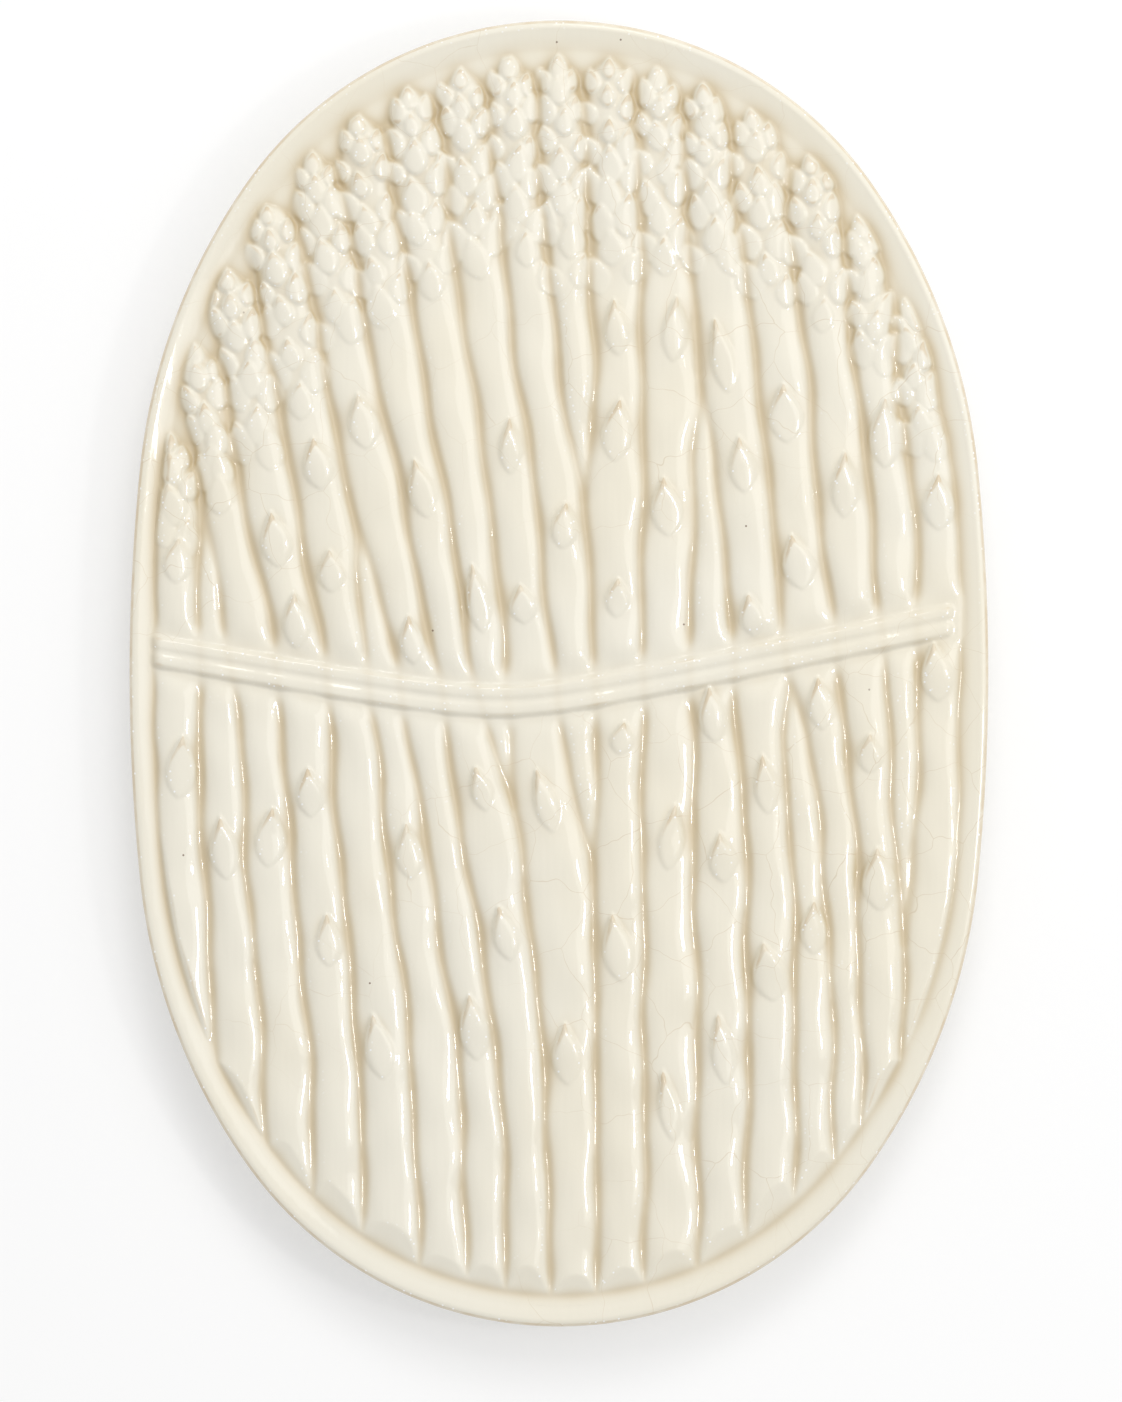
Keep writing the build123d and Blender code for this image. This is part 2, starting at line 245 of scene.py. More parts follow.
class GlazeLook(bpy.types.PropertyGroup):
    """Colours and finish of the glaze."""

    cream: colour("Cream", "Glaze on the crowns", (0.835, 0.795, 0.68))
    warm: colour("Warm Cream", "Glaze where it is a little yellower", (0.835, 0.782, 0.645))
    # painted shade: the pool colour darkens hollows, partly glaze gathered there and partly shade that falls
    # there
    pool: colour("Pool", "Glaze gathered in a hollow", (0.6, 0.49, 0.31))
    edge: colour("Edge", "Clay showing through thin glaze on an edge", (0.66, 0.52, 0.33))
    # painted shade: the crease colour darkens creases under edges, partly glaze gathered there and partly
    # shade
    crease: colour("Crease", "Glaze in the sharp crease under an edge", (0.55, 0.44, 0.27))
    craze: colour("Crazing", "Stained hair cracks", (0.62, 0.5, 0.33))
    speck: colour("Speck", "Iron specks", (0.16, 0.09, 0.05))
    clay: colour("Clay", "Bare clay on the foot", (0.6, 0.5, 0.38))
    gloss: share("Roughness", "Roughness of the glaze", 0.05)
    craze_cell: length("Crazing Cell", "Size of a field between cracks", 19 * MM)
    craze_width: share("Crazing Width", "Width of a crack in shares of a field", 0.007)


class StageSetup(bpy.types.PropertyGroup):
    """Camera, lights and floor."""

    frame_height: length("Frame Height", "Height of the picture at the rim", 407.6 * MM)
    frame_x: signed_length("Frame X", "Middle of the picture across the dish", 0.6 * MM)
    frame_y: signed_length("Frame Y", "Middle of the picture along the dish", -8.0 * MM)
    camera_height: length("Camera Height", "Camera above the rim", 3.0)
    window_power: share("Window Power", "Power of the small bright window in watts", 1.7)
    side_power: share("Side Power", "Power of the wide soft light on the right in watts", 5.0)
    far_power: share("Far Power", "Power of the window beyond the heads in watts", 2.0)
    key_power: share("Key Power", "Power of the key light in watts", 10.5)
    world_light: share("World Light", "Strength of the light from all round", 0.62)
    floor_glow: share("Floor Glow", "Share of plain white in the floor as it is seen", 0.4)
    floor_size: length("Floor Size", "Half the width of the floor", 3.0)


# Outline of the dish


@functools.lru_cache
def oval_arcs():
    """Centre, radius, start angle and turn of each arc of the outline, anticlockwise from the right."""
    dish = bpy.context.scene.plate_dish
    side, shoulder, radius = dish.side_turn, dish.shoulder_turn, dish.shoulder_radius
    width_left = HALF_WIDTH - radius * (math.cos(side) - math.cos(shoulder))
    length_left = HALF_LENGTH - radius * (math.sin(shoulder) - math.sin(side))
    side_share = 1 - math.cos(side)
    end_share = 1 - math.sin(shoulder)
    spread = side_share * end_share - math.cos(shoulder) * math.sin(side)
    side_radius = (width_left * end_share - math.cos(shoulder) * length_left) / spread
    end_radius = (side_share * length_left - math.sin(side) * width_left) / spread
    side_x = HALF_WIDTH - side_radius
    shoulder_x = side_x + (side_radius - radius) * math.cos(side)
    shoulder_y = (side_radius - radius) * math.sin(side)
    end_y = HALF_LENGTH - end_radius
    corner = shoulder - side
    top = math.pi - 2 * shoulder
    return [
        (side_x, 0, side_radius, -side, 2 * side),
        (shoulder_x, shoulder_y, radius, side, corner),
        (0, end_y, end_radius, shoulder, top),
        (-shoulder_x, shoulder_y, radius, math.pi - shoulder, corner),
        (-side_x, 0, side_radius, math.pi - side, 2 * side),
        (-shoulder_x, -shoulder_y, radius, math.pi + side, corner),
        (0, -end_y, end_radius, math.pi + shoulder, top),
        (shoulder_x, -shoulder_y, radius, 2 * math.pi - shoulder, corner),
    ]


def oval_depth(x, y):
    """Distance of points inside the outer edge of the dish."""
    across, along = np.abs(x), np.abs(y)
    side_x, _, side_radius, _, _ = oval_arcs()[0]
    shoulder_x, shoulder_y, radius, side, _ = oval_arcs()[1]
    _, end_y, end_radius, end, _ = oval_arcs()[2]
    beside = side_radius - np.hypot(across - side_x, along)
    corner = radius - np.hypot(across - shoulder_x, along - shoulder_y)
    beyond = end_radius - np.hypot(across, along - end_y)
    at_side = np.arctan2(along, across - side_x) <= side
    at_end = np.arctan2(along - end_y, across) >= end
    return np.where(at_side, beside, np.where(at_end, beyond, corner))


def oval_half_width(along, inset):
    """Half width of the drawn-in outline at places along the dish."""
    place = np.abs(along)
    result = np.zeros_like(place)
    floor = -1.0
    for x, y, radius, start, turn in oval_arcs()[:3]:
        reach = radius - inset
        joint = y + reach * math.sin(min(start + turn, math.pi / 2))
        chord = x + np.sqrt(np.clip(reach**2 - (place - y) ** 2, 0, None))
        result = np.where((place > floor) & (place <= joint), chord, result)
        floor = joint
    return result


def soft_step(values, low, high):
    """0 below low, 1 above high and a smooth rise between."""
    part = np.clip((values - low) / (high - low), 0, 1)
    return part * part * (3 - 2 * part)


def rim_height(depth, along):
    """Height of the glazed rim above the floor: a slope, a little hollow at the heads, full at the butts."""
    dish = bpy.context.scene.plate_dish
    groove_level = bpy.context.scene.plate_bunch.groove_level
    at_heads = soft_step(along, -0.3 * HALF_LENGTH, 0.4 * HALF_LENGTH)
    band = np.clip((depth - dish.lip_width) / (dish.well_inset - dish.lip_width), 0, 1)
    fall_width = dish.butt_fall + (dish.head_fall - dish.butt_fall) * at_heads
    fall = np.clip((depth - dish.well_inset) / fall_width, 0, 1)
    low = dish.foot_level - groove_level
    foot = groove_level + low * (0.5 + 0.5 * np.cos(math.pi * fall))
    rise = RIM_LEVEL - FLOOR_LEVEL - dish.foot_level
    full = 1 - band**1.3
    hollow = (1 - band) ** 1.25
    return foot + rise * (full + (hollow - full) * at_heads)


# The moulded surface of the well


def between(ends, part):
    """Value that lies a part of the way from the first end to the second."""
    return ends[0] + (ends[1] - ends[0]) * part


def bell_curve(reach):
    """Weights of a bell curve of that many cells, and how many of them stand on each side of its middle."""
    count = int(3 * reach) + 1
    weights = np.exp(-0.5 * (np.arange(-count, count + 1) / reach) ** 2)
    return weights / weights.sum(), count


def blur(heights, reach):
    """Heights softened by a bell curve of that many cells."""
    weights, count = bell_curve(reach)
    for axis in (0, 1):
        padding = [(0, 0), (0, 0)]
        padding[axis] = (count, count)
        wide = np.pad(heights, padding, mode="edge")
        size = heights.shape[axis]
        parts = [weight * np.take(wide, range(n, n + size), axis) for n, weight in enumerate(weights)]
        heights = sum(parts)
    return heights


def smooth_line(values, reach):
    """One row of values softened by a bell curve, keeping the slope at both ends."""
    weights, count = bell_curve(reach)
    before = values[0] - (values[1] - values[0]) * np.arange(count, 0, -1)
    after = values[-1] + (values[-1] - values[-2]) * np.arange(1, count + 1)
    return np.convolve(np.concatenate([before, values, after]), weights, "valid")


def wobble(x, y):
    """Gentle unevenness, as a few crossing waves of one height in all.

    A wave is its turns across and along the dish, in radians to a metre, and the angle that it starts at.
    """
    waves = [
        (210, 70, 0.4),
        (-130, 160, 1.9),
        (330, -190, 2.7),
        (90, 260, 4.1),
        (420, 210, 5.2),
        (-160, 340, 0.9),
    ]
    return sum(np.sin(across * x + along * y + start) for across, along, start in waves) / len(waves)


class Relief:
    """Heights of the well's surface above the floor, on a square grid."""

    def __init__(self):
        dish = bpy.context.scene.plate_dish
        bunch = bpy.context.scene.plate_bunch
        self.cell = bunch.cell
        self.x = np.arange(-HALF_WIDTH, HALF_WIDTH + self.cell, self.cell)
        self.y = np.arange(-HALF_LENGTH, HALF_LENGTH + self.cell, self.cell)
        self.grid_x, self.grid_y = np.meshgrid(self.x, self.y)
        self.foot = dish.well_inset - bunch.side_reach * (1 - np.abs(self.y / HALF_LENGTH) ** 1.5)
        self.half_width = HALF_WIDTH - dish.well_inset
        self.half_length = HALF_LENGTH - dish.well_inset
        self.edges = self.lane_edges()
        self.random = random.Random(bunch.seed)
        depth = oval_depth(self.grid_x, self.grid_y)
        rim = rim_height(depth, self.grid_y)
        uneven = bunch.wobble * wobble(self.grid_x, self.grid_y)
        stems = blur(self.stems(bunch), bunch.stem_round / self.cell) + uneven
        inside = np.clip(depth - self.foot[:, None], 0, None)
        beside_tie = np.clip(np.abs(self.grid_y - self.tie_line(self.grid_x)) - bunch.strand_width, 0, None)
        filled = 0.8 * np.exp(-((beside_tie / bunch.tie_fill) ** 2))
        fill_level = bunch.groove_level + 0.6 * bunch.crown_rise
        stems = stems + (fill_level - stems) * filled
        at_butts = np.clip(np.gradient(depth, self.cell, axis=0) / 0.6, 0, 1) ** 2
        slope = between((bunch.side_slope, bunch.butt_slope), at_butts)
        stems = np.minimum(stems, dish.foot_level - bunch.butt_sink + inside * slope)
        clay = stems + np.minimum(self.leaves(bunch), inside)
        clay = np.maximum(clay, rim)
        reach = bunch.glaze_round / self.cell
        tie = np.minimum(self.tie(bunch) + uneven, dish.foot_level + bunch.tie_foot + inside)
        self.layers = {"bunch": blur(clay, reach), "tied": blur(np.maximum(clay, tie), reach)}
        plain = self.layers["bunch"]
        # how deep each point lies in a hollow, which the glaze turns into painted shade
        self.hollow = blur(plain, bunch.pool_and_shade_reach / self.cell) - plain
        self.ridges = {}
        for name, heights in self.layers.items():
            self.ridges[name] = heights - blur(heights, bunch.ridge_reach / self.cell)

    def lane_edges(self):
        """Edges of the spears at every row of the grid, softly bent and pinched where a spear is hidden."""
        bunch = bpy.context.scene.plate_bunch
        lines = np.array(sorted(SPEAR_EDGES))
        table = np.array([SPEAR_EDGES[line] for line in lines]).T * self.half_width / 100
        places = lines * self.half_length / 100
        reach = np.concatenate([[-HALF_LENGTH], places, [HALF_LENGTH]])
        edges = []
        for number, row in enumerate(table):
            beyond_heads = row[-1] + (row[-1] - row[-2]) * 0.8
            line = np.interp(self.y, reach, np.concatenate([[row[0]], row, [beyond_heads]]))
            sway = np.sin(self.y * 95 + 2.1 * number) + 0.7 * np.sin(self.y * 190 + 1.3 * number)
            edges.append(smooth_line(line, bunch.lane_bend / self.cell) + bunch.sway * sway)
        for hidden, way in ((HIDDEN_TOPS, 1), (HIDDEN_ENDS, -1)):
            for number, percent in hidden.items():
                left, right = edges[number - 1], edges[number]
                shown = (percent / 100 * self.half_length - self.y) * way
                inside = np.clip(shown / bunch.hidden_taper, 0, 1)
                keep = np.sqrt(inside) * (inside > 0)
                middle = (left + right) / 2
                edges[number - 1] = middle + (left - middle) * keep
                edges[number] = middle + (right - middle) * keep
        return np.maximum.accumulate(np.array(edges), axis=0)

    def tile_edges(self):
        """Edges of the tiles, which meet exactly where the spear between them is hidden."""
        edges = self.edges.copy()
        for hidden, way in ((HIDDEN_TOPS, 1), (HIDDEN_ENDS, -1)):
            for number, percent in hidden.items():
                under = (self.y - percent / 100 * self.half_length) * way > 0
                edges[number, under] = edges[number - 1, under]
        return edges

    def tip(self, number):
        """Place along the dish where the middle of a spear meets the foot of the rim."""
        middle = (self.edges[number - 1] + self.edges[number]) / 2
        inside = (np.abs(middle) < oval_half_width(self.y, self.foot)) & (self.y > 0)
        return self.y[inside].max()

    def lane(self, number, along):
        """Middle and width of a spear at a place along the dish."""
        left = np.interp(along, self.y, self.edges[number - 1])
        right = np.interp(along, self.y, self.edges[number])
        return (left + right) / 2, right - left

    def head_fullness(self, number, along):
        """Share of its lane that a spear fills, less towards its tip."""
        if number not in HEAD_LENGTHS:
            return np.ones_like(along)
        part = (self.tip(number) - along) / bpy.context.scene.plate_bunch.head_taper
        return np.sin(np.clip(part, 0, 1) * math.pi / 2) ** 0.5

    def stems(self, bunch):
        """Crowned stems in their lanes, each falling to the glaze in the grooves."""
        result = np.full_like(self.grid_x, bunch.groove_level)
        for number in range(1, SPEAR_COUNT + 1):
            left, right = self.edges[number - 1], self.edges[number]
            full = self.head_fullness(number, self.y)
            half = np.maximum((right - left) / 2 * full, 1e-6)[:, None]
            lean = 0.12 * math.sin(2.3 * number)
            place = np.clip((self.grid_x - ((left + right) / 2)[:, None]) / half, -1, 1)
            place = place + lean * (1 - place**2)
            crown = np.sqrt(np.clip(1 - np.abs(place) ** 2.1, 0, 1))
            rise = bunch.crown_rise * np.minimum(1, 2 * half / bunch.full_width) ** 0.7
            rise = rise * (1 + 0.1 * math.sin(1.7 * number)) * full[:, None] ** 0.5
            result = np.maximum(result, bunch.groove_level + rise * crown)
        return result

    def press_leaf(self, result, x, y, turn, size, width, proud, flatness):
        """Raises one pointed leaf whose foot is at x, y and whose point leans by turn from +Y.

        Flatness 0 gives a round bud, 1 a flat bract that stands out on its left and sinks on its right.
        """
        reach = size + width
        rows = slice(*np.searchsorted(self.y, (y - reach, y + reach)))
        columns = slice(*np.searchsorted(self.x, (x - reach, x + reach)))
        across, along = self.grid_x[rows, columns] - x, self.grid_y[rows, columns] - y
        up = np.clip((across * math.sin(turn) + along * math.cos(turn)) / size, 0, 1)
        beside = across * math.cos(turn) - along * math.sin(turn)
        outline = np.sin(math.pi * up**0.74) ** (1 + 0.3 * flatness * up)
        place = np.clip(beside / (width / 2 * outline + 1e-9), -1, 1)
        dome = np.sqrt(1 - np.abs(place) ** (2.3 + 1.7 * flatness))
        tilt = 1 - 0.35 * flatness * soft_step(place, -0.8, 1.0)
        swell = 0.5 - 0.36 * flatness
        ends = np.sqrt(np.minimum(1, outline / (0.55 - 0.3 * flatness)))
        raised = proud * (swell + (1 - swell) * up) * dome * tilt * ends
        result[rows, columns] = np.maximum(result[rows, columns], raised)

    def leaves(self, bunch):
        """Scales of the heads and bracts on the stems."""
        result = np.zeros_like(self.grid_x)
        for number in range(1, SPEAR_COUNT + 1):
            for percent, size, width in BRACTS.get(number, []):
                along = percent / 100 * self.half_length
                middle = self.lane(number, along)[0] + self.stray(bunch.bract_stray)
                ahead = self.lane(number, along + size * MM)[0]
                turn = math.atan2(ahead - middle, size * MM) + self.stray(bunch.bract_lean)
                self.press_leaf(result, middle, along, turn, size * MM, width * MM, bunch.bract_proud, 1.0)
            if number in HEAD_LENGTHS:
                self.press_head(result, number, bunch)
        return result

    def stray(self, most):
        """Random difference of up to that much either way."""
        return self.random.uniform(-most, most)

    def press_head(self, result, number, bunch):
        """Scales of one head in alternating rows, larger towards the neck."""
        tip = self.tip(number)
        head = HEAD_LENGTHS[number] * MM
        distance = 0.0
        row = 0
        while distance < head:
            grown = distance / head
            size = between(SCALE_LENGTH, grown) * MM
            width = between(SCALE_WIDTH, grown) * MM
            along = tip - distance - size
            middle, lane = self.lane(number, along + size / 2)
            fullness = self.head_fullness(number, along + size / 2)
            spread = max(lane * (0.4 + 0.6 * fullness) - 0.8 * width, 0) / 2
            step = 10 * MM
            turn = math.atan2(self.lane(number, along + step)[0] - self.lane(number, along)[0], step)
            loose = between((0.35, 1.0), min(1, 2 * grown))
            for side in ((0,), (-1, 1))[row % 2]:
                x = middle + side * spread + self.stray(1.1 * MM) * loose
                y = along + self.stray(2.0 * MM) * loose
                lean = turn + 0.16 * side + self.stray(0.2) * loose
                grow = self.random.uniform(0.82, 1.18)
                proud = bunch.scale_proud * between((1.05, 0.7), grown) * self.random.uniform(0.75, 1.15)
                self.press_leaf(result, x, y, lean, size * grow, width * grow, proud, 0.75 * grown)
            distance += between(SCALE_PITCH, grown) * MM
            row += 1

    def tie_line(self, x):
        """Place along the dish of the tie's middle, a rounded dip between two straight runs."""
        bunch = bpy.context.scene.plate_bunch
        left = (bunch.tie_left + bunch.tie_dip) / (HALF_WIDTH - bunch.tie_dip_place)
        right = (bunch.tie_right + bunch.tie_dip) / (HALF_WIDTH + bunch.tie_dip_place)
        run = x + bunch.tie_dip_place
        bend = np.sqrt(((left + right) / 2 * run) ** 2 + bunch.tie_bend**2)
        return -bunch.tie_dip + (right - left) / 2 * run + bend

    def tie(self, bunch):
        """Both strands of the tie, half round on their seat."""
        result = np.zeros_like(self.grid_x)
        for side in (-1, 1):
            axis = self.tie_line(self.grid_x) + side * bunch.strand_width / 2
            place = (self.grid_y - axis) / (bunch.strand_width / 2)
            round_top = np.clip(1 - np.abs(place) ** 4, 0, 1) ** 0.5
            strand = TIE_SEAT + bunch.strand_rise * round_top
            result = np.maximum(result, np.where(np.abs(place) < 1, strand, 0))
        in_seam = np.abs(self.grid_y - self.tie_line(self.grid_x)) < 0.3 * bunch.strand_width
        seam_level = TIE_SEAT + 0.85 * bunch.strand_rise
        result = np.where(in_seam, np.maximum(result, seam_level), result)
        left, right = TIE_ENDS
        beyond = np.maximum(left - self.grid_x, self.grid_x - right) / bunch.tie_end + 1
        return result * np.sqrt(1 - np.clip(beyond, 0, 1) ** 2)

    def sample(self, values, x, y):
        """Values of a grid at points, mixed from the four cells around each."""
        across = np.clip((x - self.x[0]) / self.cell, 0, len(self.x) - 1.001)
        along = np.clip((y - self.y[0]) / self.cell, 0, len(self.y) - 1.001)
        column, row = across.astype(int), along.astype(int)
        right, up = across - column, along - row
        low = values[row, column] * (1 - right) + values[row, column + 1] * right
        high = values[row + 1, column] * (1 - right) + values[row + 1, column + 1] * right
        return low * (1 - up) + high * up


@functools.lru_cache
def relief():
    """The one surface that all the tiles share."""
    return Relief()


# Meshes


def add_object(name, bm, material):
    """Object from a finished bmesh, at the origin."""
    mesh = bpy.data.meshes.new(name)
    bm.to_mesh(mesh)
    bm.free()
    mesh.materials.append(material)
    made = bpy.data.objects.new(name, mesh)
    bpy.context.scene.collection.objects.link(made)
    return made


def add_piece(name, bm, node):
    """Glazed piece that stands for one node."""
    piece = add_object(name, bm, glaze_material())
    piece.data.shade_smooth()
    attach(piece, BODY)
    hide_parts(node)
    return piece


def mark_glaze(piece, layer):
    """Stores on each point how many millimetres it lies in a hollow or stands on a ridge of the glaze.

    The lip counts as a ridge. Returns the points' places and which of them are on top of the surface.
    """
    surface = relief()
    points = np.empty(len(piece.data.vertices) * 3)
    piece.data.vertices.foreach_get("co", points)
    x, y, z = points.reshape(-1, 3).T
    on_top = z > FLOOR_LEVEL + surface.sample(surface.layers[layer], x, y) - TOP_REACH
    at_edge = 1 - soft_step(oval_depth(x, y), 0.2 * MM, 1.5 * MM)
    near_rim = soft_step(z, RIM_LEVEL - 2.4 * MM, RIM_LEVEL - 1.0 * MM)
    on_lip = 0.3 * at_edge * near_rim
    # hollow values darken the glaze in hollows as painted shade
    hollow = np.where(on_top, surface.sample(surface.hollow, x, y) / MM, 0)
    # negative ridge values darken creases as painted shade; positive ones tint thin glaze on edges
    ridge = np.where(on_top, surface.sample(surface.ridges[layer], x, y) / MM, 0)
    for name, values in (("hollow", hollow), ("ridge", np.maximum(ridge, on_lip))):
        attribute = piece.data.attributes.new(name, "FLOAT", "POINT")
        attribute.data.foreach_set("value", values.astype(np.float32))
    return x, y, on_top


def even_seams(piece, layer):
    """Marks the glaze and gives a tile's top the surface's own normals, so that no seam shows."""
    surface = relief()
    x, y, on_top = mark_glaze(piece, layer)
    slope_y, slope_x = np.gradient(surface.layers[layer], surface.cell)
    normals = np.stack([-surface.sample(slope_x, x, y), -surface.sample(slope_y, x, y), np.ones_like(x)], 1)
    normals /= np.linalg.norm(normals, axis=1)[:, None]
    normals[~on_top] = (0, 0, -1)
    piece.data.normals_split_custom_set_from_vertices(normals.tolist())


def tile(name, node, layer, columns, rows, place, lift):
    """Closed tile of the surface: a grid laid out by place, with a skirt and a flat underside."""
    surface = relief()
    bm = bmesh.new()
    bmesh.ops.create_grid(bm, x_segments=columns, y_segments=rows, size=0.5)
    border = [edge for edge in bm.edges if edge.is_boundary]
    skirt = bmesh.ops.extrude_edge_only(bm, edges=border)["geom"]
    hem = [part for part in skirt if isinstance(part, bmesh.types.BMVert)]
    bmesh.ops.translate(bm, verts=hem, vec=(0, 0, -1))
    bmesh.ops.holes_fill(bm, edges=[edge for edge in bm.edges if edge.is_boundary], sides=0)
    points = np.array([vert.co for vert in bm.verts])
    x, y = place(points[:, 0] + 0.5, points[:, 1] + 0.5)
    top = FLOOR_LEVEL + surface.sample(surface.layers[layer], x, y) + lift
    z = np.where(points[:, 2] < -0.5, FLOOR_LEVEL - TILE_SINK, top)
    for vert, spot in zip(bm.verts, np.stack([x, y, z], 1)):
        vert.co = spot
    bmesh.ops.remove_doubles(bm, verts=bm.verts, dist=TILE_HAIR)
    bmesh.ops.recalc_face_normals(bm, faces=bm.faces)
    even_seams(add_piece(name, bm, node), layer)


def make_spear(number):
    """Tile of one spear, from groove to groove and up the rim's slope at its ends.

    Its rows are the grid's own, with one more at each end where it has no width, so that no gap is left
    between tiles.
    """
    surface = relief()
    limit = oval_half_width(surface.y, bpy.context.scene.plate_bunch.tile_inset)
    edges = surface.tile_edges()
    left = edges[number - 1] if number > 1 else -limit
    right = edges[number] if number < SPEAR_COUNT else limit
    left = np.clip(left, -limit, limit)
    right = np.clip(right, -limit, limit)
    shown = np.flatnonzero(right - left > HAIR)
    first, last = shown[0] - 1, shown[-1] + 1
    low, high = surface.y[first], surface.y[last]
    columns = int((right - left).max() / surface.cell) + 1
    rows = int(last - first)

    def place(across, along):
        y = low + (high - low) * along
        start = np.interp(y, surface.y, left)
        end = np.interp(y, surface.y, right)
        return start + (end - start) * across, y

    node = f"spear_{number:02d}"
    tile(f"glazed_{node}", node, "bunch", columns, rows, place, SPEAR_LIFT)


def make_strand(name, node, side):
    """Tile of one strand of the tie, with the glaze that joins it to the spears."""
    surface = relief()
    bunch = bpy.context.scene.plate_bunch
    left, right = TIE_ENDS
    width = bunch.strand_width + bunch.tie_margin
    columns = int((right - left) / surface.cell)
    rows = int(width / surface.cell)

    def place(across, along):
        x = left + (right - left) * across
        inner = surface.tie_line(x)
        return x, inner + width * (along if side > 0 else along - 1)

    tile(name, node, "tied", columns, rows, place, TIE_LIFT)


def sweep_oval(bm, corners):
    """Sweeps a section round the oval. Each corner is an inset, a height, a rounding and its steps."""
    x, y, radius, start, _ = oval_arcs()[0]
    verts = []
    for inset, height, _, _ in corners:
        reach = radius - inset
        verts.append(bm.verts.new((x + reach * math.cos(start), y + reach * math.sin(start), height)))
    for first, second in zip(verts, verts[1:]):
        bm.edges.new((first, second))
    for vert, (_, _, rounding, steps) in zip(verts, corners):
        if rounding:
            bmesh.ops.bevel(
                bm, geom=[vert], offset=rounding, affect="VERTICES", segments=steps, profile=0.5, material=-1
            )
    step = bpy.context.scene.plate_dish.sweep_step
    section = list(bm.verts) + list(bm.edges)
    for x, y, radius, _, turn in oval_arcs():
        steps = max(4, int(radius * turn / step))
        result = bmesh.ops.spin(bm, geom=section, cent=(x, y, 0), axis=(0, 0, 1), angle=turn, steps=steps)
        section = result["geom_last"]
    bmesh.ops.remove_doubles(bm, verts=bm.verts, dist=HAIR)


def rounding_offset(before, corner, after, radius):
    """Distance along both sides of a corner at which a rounding of that radius starts."""
    first = math.atan2(before[1] - corner[1], before[0] - corner[0])
    second = math.atan2(after[1] - corner[1], after[0] - corner[0])
    opening = abs((first - second + math.pi) % (2 * math.pi) - math.pi)
    return radius / math.tan(opening / 2)


def rounded(points):
    """Corners for a sweep from insets, heights, radii and steps."""
    corners = []
    for n, (inset, height, radius, steps) in enumerate(points):
        offset = 0
        if radius:
            offset = rounding_offset(points[n - 1], (inset, height), points[n + 1], radius)
        corners.append((inset, height, offset, steps))
    return corners


def shape_rim(bm):
    """Moves the swept rim from the section at the sides to the one at its place along the dish."""
    dish = bpy.context.scene.plate_dish
    points = np.array([vert.co for vert in bm.verts])
    depth = oval_depth(points[:, 0], points[:, 1])
    swept = FLOOR_LEVEL + rim_height(depth, 0)
    on_rim = (depth > dish.lip_width) & (np.abs(points[:, 2] - swept) < HAIR)
    heights = FLOOR_LEVEL + rim_height(depth, points[:, 1])
    for vert, moves, height in zip(bm.verts, on_rim, heights):
        if moves:
            vert.co.z = height


def make_dish():
    """Dish with a rounded lip, its rim sloping down to the well, and a sloping outer wall."""
    dish = bpy.context.scene.plate_dish
    bm = bmesh.new()
    section = [
        (dish.floor_inset, FLOOR_LEVEL, 0, 0),
        (dish.well_inset + dish.well_margin, FLOOR_LEVEL, 0, 0),
    ]
    for depth in np.arange(dish.well_inset, dish.lip_width + 0.1 * MM, -dish.rim_step):
        section.append((depth, FLOOR_LEVEL + float(rim_height(depth, 0)), 0, 0))
    section += [
        (dish.lip_width, RIM_LEVEL, 0, 0),
        (0, RIM_LEVEL, dish.lip_radius, 8),
        (0, RIM_LEVEL - dish.lip_drop, dish.wall_radius, 6),
        (dish.base_inset, FOOT_HEIGHT, dish.heel_radius, 8),
        (dish.floor_inset, FOOT_HEIGHT, 0, 0),
    ]
    sweep_oval(bm, rounded(section))
    shape_rim(bm)
    bmesh.ops.holes_fill(bm, edges=[edge for edge in bm.edges if edge.is_boundary], sides=0)
    bmesh.ops.recalc_face_normals(bm, faces=bm.faces)
    mark_glaze(add_piece("glazed_dish", bm, "platter_body"), "bunch")


def make_foot():
    """Ring under the base, rounded on its two lower edges."""
    dish = bpy.context.scene.plate_dish
    inner = dish.foot_inset + dish.foot_width
    bm = bmesh.new()
    section = [
        (dish.foot_inset, FOOT_HEIGHT, 0, 0),
        (dish.foot_inset, 0, dish.foot_radius, 5),
        (inner, 0, dish.foot_radius, 5),
        (inner, FOOT_HEIGHT, 0, 0),
        (dish.foot_inset, FOOT_HEIGHT, 0, 0),
    ]
    sweep_oval(bm, rounded(section))
    bmesh.ops.recalc_face_normals(bm, faces=bm.faces)
    ring = add_piece("glazed_foot_ring", bm, "foot_ring")
    ring.data.set_sharp_from_angle(angle=math.radians(40))


# Materials


